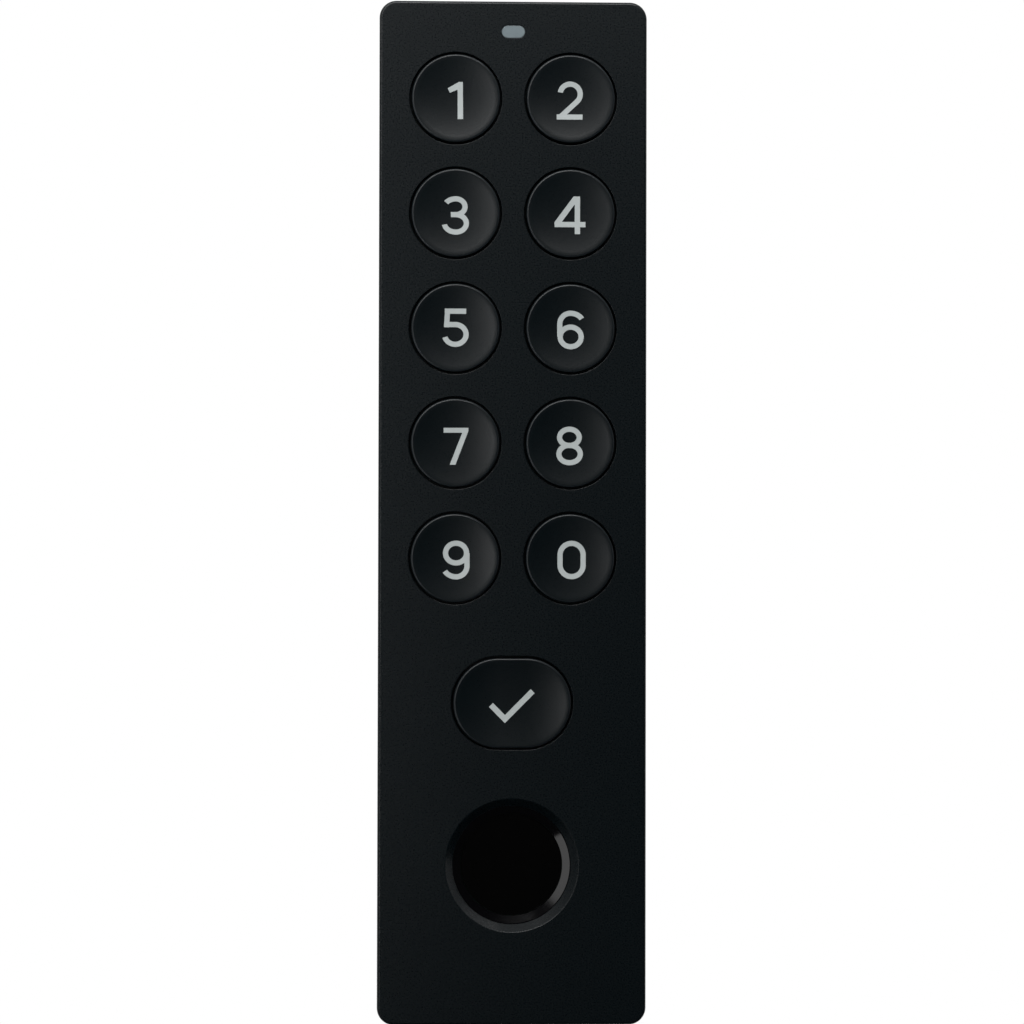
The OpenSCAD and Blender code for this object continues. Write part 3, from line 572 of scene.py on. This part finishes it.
# ---- Sensor retainer and flex ----------------------------------------------------------------
# A stamped, zinc-plated steel plate presses the sensor forward. Four small screws hold it. The amber
# polyimide flex comes out through its slot, turns up and ends in the socket on the board.
zinc_steel, tree, shader = new_material("zinc_plated_steel", "#B9BBBE", 0.34, Metallic=1.0)
grain(tree, shader, 0.5, 0.004, vary=0.08)
tinted(tree, shader, 3, "#B2B5B8", "#C2C3C4")
finish_piece("retainer_plate", softened("sensor_retainer", 0.12), "housing", zinc_steel,
             ["sensor_retainer"])
amber_film, tree, shader = new_material("amber_polyimide_film", "#A8621C", 0.28, Coat_Weight=0.4)
grain(tree, shader, 0.8, 0.004)
tinted(tree, shader, 2, "#A05A18", "#B06A22")
flex_low, flex_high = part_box("sensor_flex")
flex_t = 0.15               # in mm, as is the bend's radius
bend_r = 0.35
bend_steps = 6
root = Vector((flex_low.y / MM - FACE_Y / MM, flex_low.z / MM + flex_t / 2))       # as (depth, height)
corner = Vector((flex_high.y / MM - FACE_Y / MM - flex_t / 2, root.y))
path = [(root, Vector((1, 0)))]
for k in range(bend_steps + 1):
    a = math.radians(90 * k / bend_steps)
    along = Vector((math.cos(a), math.sin(a)))
    path.append((corner + Vector((-bend_r + bend_r * math.sin(a), bend_r - bend_r * math.cos(a))), along))
path.append((Vector((corner.x, flex_high.z / MM)), Vector((0, 1))))
loops = []
for spot, along in path:
    side = Vector((-along.y, along.x)) * flex_t / 2
    loops.append([Vector((x_edge, p.x, p.y)) for p, x_edge in
                  ((spot - side, flex_low.x / MM), (spot - side, flex_high.x / MM),
                   (spot + side, flex_high.x / MM), (spot + side, flex_low.x / MM))])
shell = skin(loops)
bmesh.ops.holes_fill(shell, edges=[e for e in shell.edges if e.is_boundary])
finish_piece("flex_ribbon", to_mesh("flex_ribbon", shell), "housing", amber_film,
             ["sensor_flex"])


def new_growth(name, inputs):
    """An empty geometry node tree that takes points, and these named inputs: (tree, inputs node)."""
    tree = bpy.data.node_groups.new(name, "GeometryNodeTree")
    tree.interface.new_socket("Points", in_out="INPUT", socket_type="NodeSocketGeometry")
    for label, kind in inputs:
        tree.interface.new_socket(label, in_out="INPUT", socket_type="NodeSocket" + kind)
    tree.interface.new_socket("Geometry", in_out="OUTPUT", socket_type="NodeSocketGeometry")
    return tree, tree.nodes.new("NodeGroupInput")


def finish_growth(tree, given, shape):
    """Sets the shape on every point, turned as the point's own facing says, and gives it its material."""
    facing = add(tree, "GeometryNodeInputNamedAttribute", {"data_type": "FLOAT_VECTOR", "Name": "facing"})
    copies = add(tree, "GeometryNodeInstanceOnPoints", Points=given.outputs["Points"], Instance=shape,
                 Rotation=facing.outputs["Attribute"])
    real = add(tree, "GeometryNodeRealizeInstances", Geometry=copies.outputs["Instances"])
    dressed = add(tree, "GeometryNodeSetMaterial", Geometry=real.outputs["Geometry"],
                  Material=given.outputs["Material"])
    out = tree.nodes.new("NodeGroupOutput")
    tree.links.new(dressed.outputs["Geometry"], out.inputs[0])


def grow(name, tree, places, facing, values):
    """The mesh that a tree makes at these places, each with its facing as turns about X, Y and Z."""
    base = bpy.data.meshes.new(name + "_points")
    base.from_pydata(places, [], [])
    turns = base.attributes.new("facing", "FLOAT_VECTOR", "POINT")
    for i, turn in enumerate(facing):
        turns.data[i].vector = turn
    holder = bpy.data.objects.new(name + "_points", base)
    bpy.context.collection.objects.link(holder)
    growth = holder.modifiers.new("growth", "NODES")
    growth.node_group = tree
    for item in tree.interface.items_tree:
        if item.in_out == "INPUT" and item.name in values:
            growth[item.identifier] = values[item.name]
    mesh = bpy.data.meshes.new_from_object(holder.evaluated_get(bpy.context.evaluated_depsgraph_get()))
    bpy.data.objects.remove(holder)
    shell = bmesh.new()
    shell.from_mesh(mesh)
    bpy.data.meshes.remove(mesh)
    bmesh.ops.remove_doubles(shell, verts=shell.verts, dist=2e-6)
    bmesh.ops.dissolve_degenerate(shell, edges=shell.edges, dist=2e-6)
    return to_mesh(name, shell)


# A small pan-head screw that stands on its point, its head up, with a cross recess and a thread
screw_tree, given = new_growth("pan_head_screw", [
    ("Head Diameter", "Float"), ("Head Height", "Float"), ("Thread Diameter", "Float"), ("Length", "Float"),
    ("Recess", "Float"), ("Material", "Material")])


def half(tree, value, factor=0.5):
    """That much of a value."""
    return add(tree, "ShaderNodeMath", {"operation": "MULTIPLY", 1: factor}, _0=value).outputs[0]


def raised(tree, shape, height):
    """The shape moved up by a height."""
    up = add(tree, "ShaderNodeCombineXYZ", Z=height)
    return add(tree, "GeometryNodeTransform", Geometry=shape, Translation=up.outputs[0]).outputs[0]


wide, tall = given.outputs["Head Diameter"], given.outputs["Head Height"]
round_bar = add(screw_tree, "GeometryNodeMeshCylinder", {"Vertices": 32, "Side Segments": 6},
                Radius=half(screw_tree, wide), Depth=tall)
# The bar draws in towards its top, to half its width, as a pan head does
spot = add(screw_tree, "GeometryNodeInputPosition")
parts = add(screw_tree, "ShaderNodeSeparateXYZ", Vector=spot.outputs[0])
share = add(screw_tree, "ShaderNodeMath", {"operation": "DIVIDE"}, _0=parts.outputs["Z"], _1=tall)
steep = add(screw_tree, "ShaderNodeMath", {"operation": "POWER", 1: 3.0}, _0=share.outputs[0])
less = add(screw_tree, "ShaderNodeMath", {"operation": "MULTIPLY_ADD", 1: -0.75, 2: 1.0}, _0=steep.outputs[0])
slim = add(screw_tree, "ShaderNodeMath", {"operation": "SQRT"}, _0=less.outputs[0])
shrink = add(screw_tree, "ShaderNodeCombineXYZ", {"Z": 1.0}, X=slim.outputs[0], Y=slim.outputs[0])
drawn = add(screw_tree, "ShaderNodeVectorMath", {"operation": "MULTIPLY"}, _0=spot.outputs[0],
            _1=shrink.outputs[0])
head = add(screw_tree, "GeometryNodeSetPosition", Geometry=raised(screw_tree, round_bar.outputs["Mesh"],
           half(screw_tree, tall)), Position=drawn.outputs[0])
recess_w = half(screw_tree, wide, 0.14)
cuts = []
# One slot is a little shallower, so that the two floors don't lie in one plane
for first, second, lift in (("Recess", None, 1.0), (None, "Recess", 1.06)):
    size = add(screw_tree, "ShaderNodeCombineXYZ", X=given.outputs[first] if first else recess_w,
               Y=given.outputs[second] if second else recess_w, Z=tall)
    cube = add(screw_tree, "GeometryNodeMeshCube", Size=size.outputs[0])
    cuts.append(raised(screw_tree, cube.outputs["Mesh"], half(screw_tree, tall, lift)))
carved = add(screw_tree, "GeometryNodeMeshBoolean", {"operation": "DIFFERENCE"}, Mesh_1=head.outputs[0])
for slot_shape in cuts:
    screw_tree.links.new(slot_shape, carved.inputs["Mesh 2"])
long = given.outputs["Length"]
shank = add(screw_tree, "GeometryNodeMeshCylinder", {"Vertices": 24},
            Radius=half(screw_tree, given.outputs["Thread Diameter"], 0.4), Depth=long)
thread_pitch = 0.6 * MM
turns = add(screw_tree, "ShaderNodeMath", {"operation": "DIVIDE", 1: thread_pitch}, _0=long)
helix = add(screw_tree, "GeometryNodeCurveSpiral", {"Resolution": 20}, Rotations=turns.outputs[0],
            Start_Radius=half(screw_tree, given.outputs["Thread Diameter"], 0.42),
            End_Radius=half(screw_tree, given.outputs["Thread Diameter"], 0.42),
            Height=half(screw_tree, long, 0.94))
tooth = add(screw_tree, "GeometryNodeCurvePrimitiveCircle", {"Resolution": 3},
            Radius=half(screw_tree, given.outputs["Thread Diameter"], 0.08))
thread = add(screw_tree, "GeometryNodeCurveToMesh", {"Fill_Caps": True}, Curve=helix.outputs[0],
             Profile_Curve=tooth.outputs[0])
whole = add(screw_tree, "GeometryNodeJoinGeometry")
below = add(screw_tree, "ShaderNodeMath", {"operation": "MULTIPLY", 1: -0.5}, _0=long)
lower = add(screw_tree, "ShaderNodeMath", {"operation": "MULTIPLY", 1: -0.97}, _0=long)
for part in (carved.outputs["Mesh"], raised(screw_tree, shank.outputs["Mesh"], below.outputs[0]),
             raised(screw_tree, thread.outputs["Mesh"], lower.outputs[0])):
    screw_tree.links.new(part, whole.inputs["Geometry"])
finish_growth(screw_tree, given, whole.outputs[0])
TO_WALL = (math.radians(-90), 0, 0)
thread_d = 1.66             # mm
recess_share = 0.6          # length of the cross recess over the head's diameter


def screws(name, node, spots, seat, length, head_d, head_h):
    """Screws at (x, z) spots, their heads on a seat of that depth, towards the wall. Sizes are in mm."""
    places = [(x * MM, FACE_Y + seat * MM, z * MM) for x, z in spots]
    mesh = grow(name, screw_tree, places, [TO_WALL] * len(places), {
        "Head Diameter": head_d * MM, "Head Height": head_h * MM, "Thread Diameter": thread_d * MM,
        "Length": length * MM, "Recess": head_d * recess_share * MM, "Material": zinc_steel})
    finish_piece(name, mesh, "housing", zinc_steel, [node])


x, z = middle("sensor_pad")
retainer_x, retainer_z = 10.7, 7.2      # from the sensor's middle to its screws
retainer_spots = [(a, z + b) for a in (-retainer_x, retainer_x) for b in (-retainer_z, retainer_z)]
screws("retainer_screws", "sensor_retainer_screws", retainer_spots, seat=5.4, length=2.8, head_d=3.0,
       head_h=0.8)

# ---- Key mat ---------------------------------------------------------------------------------
# One sheet of grey silicone rubber with a hollow dome and a plunger under each key. The domes spring
# the keys back and keep rain off the board.
silicone, tree, shader = new_material("grey_silicone_rubber", "#7C7F82", 0.62)
shader.inputs["Subsurface Weight"].default_value = 0.15
shader.inputs["Subsurface Radius"].default_value = (0.001, 0.001, 0.001)
grain(tree, shader, 0.3, 0.006, vary=0.06)
tinted(tree, shader, 8, "#777A7D", "#828587")
finish_piece("rubber_mat", softened("key_mat", 0.1), "housing", silicone, ["key_mat"])

# ---- Circuit board ---------------------------------------------------------------------------
# The board is green glass-epoxy laminate with everything soldered to it: push switches and lamps in
# front, and behind it the radio in its tin-plated can, the buzzer, the chips and the flex socket.
finish_piece("circuit_board", softened("main_board", 0.06), "housing", green_mask,
             ["main_board"])
bright_tin, tree, shader = new_material("tin_plated_can", "#C9CCCF", 0.30, Metallic=1.0)
grain(tree, shader, 0.35, 0.003, vary=0.06)
tinted(tree, shader, 4, "#C2C5C8", "#D0D2D4")
black_epoxy, tree, shader = new_material("black_moulding_epoxy", "#16171A", 0.55)
grain(tree, shader, 0.08, 0.004, vary=0.06)
tinted(tree, shader, 3, "#141518", "#191A1D")
warm_ceramic, tree, shader = new_material("tan_ceramic_chips", "#8A7656", 0.5)
grain(tree, shader, 0.1, 0.004)
# Every few millimetres the parts change from capacitor tan to resistor black
tinted(tree, shader, 2.2, "#A08A66", "#2A2826")
ivory_plastic, tree, shader = new_material("ivory_heat_proof_nylon", "#D8D2BE", 0.45)
grain(tree, shader, 0.2, 0.004)
tinted(tree, shader, 3, "#D2CCB8", "#DED8C6")
phosphor, tree, shader = new_material("yellow_lamp_phosphor", "#E6D978", 0.4)
grain(tree, shader, 0.1, 0.003)
tinted(tree, shader, 0.8, "#DCCB62", "#F0E8B4")
for name, node, width, material, slot in (
        ("push_switches", "key_switches", 0.08, bright_tin, "switch_metal"),
        ("key_leds", "key_lamps", 0.04, phosphor, "lamp_body"),
        ("status_led", "status_lamp", 0.05, phosphor, "lamp_body"),
        ("radio_can", "radio_module", 0.15, bright_tin, "shield_can"),
        ("buzzer_case", "buzzer", 0.2, black_epoxy, "chip_black"),
        ("chips", "controller_chips", 0.08, black_epoxy, "chip_black"),
        ("small_parts", "board_parts", 0.06, warm_ceramic, "chip_part"),
        ("ribbon_socket", "flex_socket", 0.06, ivory_plastic, "socket_plastic")):
    finish_piece(name, softened(node, width), "housing", material, [node])
# Three screws down the middle, between the keys, and one on either side above the sensor
board_spots = [(0, 47.825), (0, 16.925), (0, -14.65), (10.5, -33.2), (-10.5, -33.2)]
screws("board_fixings", "board_screws", board_spots, seat=5.2, length=2.8, head_d=3.0, head_h=0.9)

# ---- Battery tray ----------------------------------------------------------------------------
# The back half of the housing is moulded in the same black plastic, left plain where it isn't seen.
# It carries the cells, presses the seal on the cover and is held by six screws.
plain_abs, tree, shader = new_material("plain_black_abs", "#15171A", 0.42)
grain(tree, shader, 0.5, 0.006, vary=0.06)
tinted(tree, shader, 18, "#121416", "#181B1D")
finish_piece("tray", softened("battery_tray", 0.12), "housing", plain_abs, ["battery_tray"])
soft_rubber, tree, shader = new_material("black_seal_rubber", "#1B1C1E", 0.78)
grain(tree, shader, 0.25, 0.008, vary=0.06)
tinted(tree, shader, 5, "#18191B", "#1F2022")
finish_piece("seal", softened("housing_seal", 0.22, 3), "housing", soft_rubber,
             ["housing_seal"])
tray_x = 13.25
tray_heights = (63, 1.475, -63)
tray_spots = [(a, b) for a in (-tray_x, tray_x) for b in tray_heights]
screws("tray_screws", "housing_screws", tray_spots, seat=7.55, length=4.6, head_d=2.9, head_h=1.3)

# ---- Cells -----------------------------------------------------------------------------------
# Four AAA cells: nickel-plated steel cans in a plain printed sleeve, with a lighter band at the
# positive end and no lettering. Left-hand cells point up and right-hand cells point down.
cell_r = 5.25               # sizes in mm
cell_l = 44.5
cell_depth = 13.0
sleeve_r = 4.96             # the sleeve covers what lies farther out than this
band_from, band_to = 30.03, 43.12       # heights above the negative end between which the band lies
nickel, tree, shader = new_material("nickel_plated_steel", "#C6C3BC", 0.26, Metallic=1.0)
grain(tree, shader, 0.6, 0.003, vary=0.06)
tinted(tree, shader, 4, "#BFBCB5", "#CECBC4")
sleeve, tree, shader = new_material("printed_cell_sleeve", "#24405E", 0.30, Coat_Weight=0.3)
grain(tree, shader, 0.3, 0.003, vary=0.05)
banded = add(tree, "ShaderNodeAttribute", {"attribute_name": "band"})
print_colours = {"data_type": "RGBA", 6: hex_colour("#24405E"), 7: hex_colour("#AEB4B8")}
print_mix = add(tree, "ShaderNodeMix", print_colours, Factor=banded.outputs["Fac"])
tree.links.new(print_mix.outputs[2], shader.inputs["Base Color"])


def upright_loop(x, depth, r, z, n=64):
    """Points in mm round an upright axis."""
    return [Vector((x + r * math.cos(math.tau * k / n), depth + r * math.sin(math.tau * k / n), z))
            for k in range(n)]


# From the negative end to the tip of the nub, as (radius, height). Two close loops start the band sharply
cell_profile = [(0, 0.12), (3.4, 0.12), (3.6, 0.0), (4.5, 0.0), (4.85, 0.18), (4.95, 0.5), (5.1, 0.55),
                (cell_r, 0.75), (cell_r, 12), (cell_r, 30.0), (cell_r, 30.06), (cell_r, 42.6), (5.2, 42.9),
                (4.95, 43.1), (4.7, 43.15), (4.5, 43.35), (3.0, 43.45), (2.2, 43.5), (1.9, 43.7), (1.9, 44.3),
                (1.75, 44.45), (1.5, cell_l), (0, cell_l)]
for i in range(4):
    node = "battery_%d" % (i + 1)
    low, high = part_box(node)
    x, foot = (low.x + high.x) / 2 / MM, low.z / MM
    points_up = x < 0
    shell = skin([upright_loop(x, cell_depth, r, foot + (h if points_up else cell_l - h))
                  for r, h in cell_profile])
    band_layer = shell.verts.layers.float.new("band")
    for v in shell.verts:
        h = v.co.z / MM - foot
        h = h if points_up else cell_l - h
        v[band_layer] = 1.0 if band_from < h < band_to else 0.0
    for face in shell.faces:
        centre = face.calc_center_median()
        r = math.hypot(centre.x / MM - x, (centre.y - FACE_Y) / MM - cell_depth)
        face.material_index = 1 if r > sleeve_r else 0
    finish_piece("cell_%d" % (i + 1), to_mesh("cell", shell), "housing", [nickel, sleeve], [node])

# ---- Contacts and springs --------------------------------------------------------------------
# Nickel-plated sheet contacts stand in the tray's end walls and over its divider. A cone spring of
# nickel-plated wire presses on the negative end of each cell.
for name, node in (("contact_plus", "contact_positive"), ("contact_minus", "contact_negative"),
                   ("contact_fold_left", "contact_middle_left"),
                   ("contact_fold_right", "contact_middle_right"), ("contact_link", "contact_bridge")):
    finish_piece(name, softened(node, 0.06), "housing", nickel, [node])
coil_tree, given = new_growth("coil", [
    ("Turns", "Float"), ("Start Radius", "Float"), ("End Radius", "Float"), ("Height", "Float"),
    ("Wire Radius", "Float"), ("Wire Sides", "Int"), ("Material", "Material")])
path = add(coil_tree, "GeometryNodeCurveSpiral", {"Resolution": 36}, Rotations=given.outputs["Turns"],
           Start_Radius=given.outputs["Start Radius"], End_Radius=given.outputs["End Radius"],
           Height=given.outputs["Height"])
section = add(coil_tree, "GeometryNodeCurvePrimitiveCircle", Resolution=given.outputs["Wire Sides"],
              Radius=given.outputs["Wire Radius"])
wire = add(coil_tree, "GeometryNodeCurveToMesh", {"Fill_Caps": True}, Curve=path.outputs[0],
           Profile_Curve=section.outputs[0])
finish_growth(coil_tree, given, wire.outputs["Mesh"])
wire_r = 0.32               # sizes in mm
spring_l = 3.46
cell_x = 5.45
inner_seat = 0.92
outer_seat = 49.48          # 0.3 too far out, so the outer springs' feet stand in the contact plates
# As (x, z, whether the spring stands with its wide end down)
spring_seats = [(-cell_x, inner_seat, True), (-cell_x, -outer_seat, True),
                (cell_x, outer_seat, False), (cell_x, -inner_seat, False)]
places, facing = [], []
for x, z, up in spring_seats:
    places.append((x * MM, FACE_Y + cell_depth * MM, (z + (wire_r if up else -wire_r)) * MM))
    facing.append((0, 0, 0) if up else (math.pi, 0, 0))
spring_mesh = grow("springs", coil_tree, places, facing, {
    "Turns": 3.0, "Start Radius": 3.3 * MM, "End Radius": 2.0 * MM, "Height": (spring_l - 2 * wire_r) * MM,
    "Wire Radius": wire_r * MM, "Wire Sides": 12, "Material": nickel})
finish_piece("springs", spring_mesh, "housing", nickel, ["battery_springs"],
             smooth_below=60)

# ---- Wall plate ------------------------------------------------------------------------------
# A moulded plate that two countersunk screws fix to the wall. Its four hooks carry the housing. A
# brass insert is pressed into its lower tab for the lock screw.
finish_piece("plate", softened("wall_plate", 0.15), "wall_plate", plain_abs, ["wall_plate"])
lock_depth = 15.8           # mm from the front face to the lock screw's axis
turned_brass, tree, shader = new_material("knurled_brass", "#B08A48", 0.30, Metallic=1.0)
place = add(tree, "ShaderNodeTexCoord")
spin = add(tree, "ShaderNodeMapping", {"Location": (0, -(FACE_Y + lock_depth * MM), 0)},
           Vector=place.outputs["Object"])
knurl_size = 0.08 * MM
knurl = add(tree, "ShaderNodeTexWave", {"Scale": 1 / (2 * math.pi * knurl_size),
                                        "bands_direction": "DIAGONAL"}, Vector=spin.outputs[0])
bump = add(tree, "ShaderNodeBump", {"Strength": 1.0, "Distance": 0.05 * MM}, Height=knurl.outputs["Fac"])
tree.links.new(bump.outputs["Normal"], shader.inputs["Normal"])
finish_piece("insert", softened("lock_insert", 0.08), "wall_plate", turned_brass,
             ["lock_insert"])

# ---- Lock screw ------------------------------------------------------------------------------
# A stainless M3 screw with a hexagon socket stands in the bottom wall, head down. A flat spring clip
# in its groove keeps it in the cover when it is undone.
stainless, tree, shader = new_material("turned_stainless_steel", "#A9ABAD", 0.28, Metallic=1.0)
place = add(tree, "ShaderNodeTexCoord")
# Turning leaves rings about 0.1 mm apart round the axis
lines = add(tree, "ShaderNodeTexWave", {"Scale": 1 / (2 * math.pi * 0.05 * MM), "bands_direction": "Z",
                                        "Distortion": 0.3}, Vector=place.outputs["Object"])
bump = add(tree, "ShaderNodeBump", {"Strength": 1.0, "Distance": 0.002 * MM}, Height=lines.outputs["Fac"])
tree.links.new(bump.outputs["Normal"], shader.inputs["Normal"])
tinted(tree, shader, 2, "#A2A4A7", "#B0B2B4")
screw_low, screw_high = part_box("lock_screw")
head_z = screw_low.z / MM
tip_z = screw_high.z / MM
clip_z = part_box("lock_screw_clip")[0].z / MM
socket_r = 1.3              # out to the hexagon's corners. These sizes are in mm
socket_deep = 1.0
head_r, head_h = 2.75, 1.8
neck_r = 1.5
groove_r, groove_w = 1.15, 0.5
core_r = 1.27


def hex_loop(x, depth, apothem, z, n=64):
    """Points round a hexagon, as many as in an upright loop."""
    loop = []
    for k in range(n):
        a = math.tau * k / n
        r = apothem / math.cos((a + math.pi / 6) % (math.pi / 3) - math.pi / 6)
        loop.append(Vector((x + r * math.cos(a), depth + r * math.sin(a), z)))
    return loop


socket_apothem = socket_r * math.cos(math.pi / 6)
# The socket, with a drilled cone at its floor and a chamfer at its mouth, and then the outside
loops = [upright_loop(0, lock_depth, 0, head_z + socket_deep + 0.25),
         hex_loop(0, lock_depth, socket_apothem, head_z + socket_deep),
         hex_loop(0, lock_depth, socket_apothem, head_z + 0.12), upright_loop(0, lock_depth, 1.5, head_z)]
loops += [upright_loop(0, lock_depth, r, z) for r, z in (
    (2.45, head_z), (2.62, head_z + 0.05), (head_r, head_z + 0.2), (head_r, head_z + 1.75),
    (head_r - 0.05, head_z + head_h), (neck_r, head_z + head_h), (neck_r, clip_z - 0.03), (groove_r, clip_z),
    (groove_r, clip_z + groove_w), (core_r, clip_z + 0.6), (core_r, tip_z - 0.25), (1.0, tip_z), (0, tip_z))]
shell = skin(loops)
lock_pitch = 0.5            # of an M3 thread
thread_foot = clip_z + 0.85
thread_l = tip_z - 0.35 - thread_foot
coil = grow("thread", coil_tree, [(0, FACE_Y + lock_depth * MM, thread_foot * MM)], [(0, 0, 0)], {
    "Turns": thread_l / lock_pitch, "Start Radius": 1.3 * MM, "End Radius": 1.3 * MM, "Height": thread_l * MM,
    "Wire Radius": 0.19 * MM, "Wire Sides": 4, "Material": stainless})
shell.from_mesh(coil)
finish_piece("lock_bolt", to_mesh("lock_bolt", shell), "lock_screw", stainless, ["lock_screw"])
finish_piece("retaining_clip", softened("lock_screw_clip", 0.06), "lock_screw", zinc_steel,
             ["lock_screw_clip"])
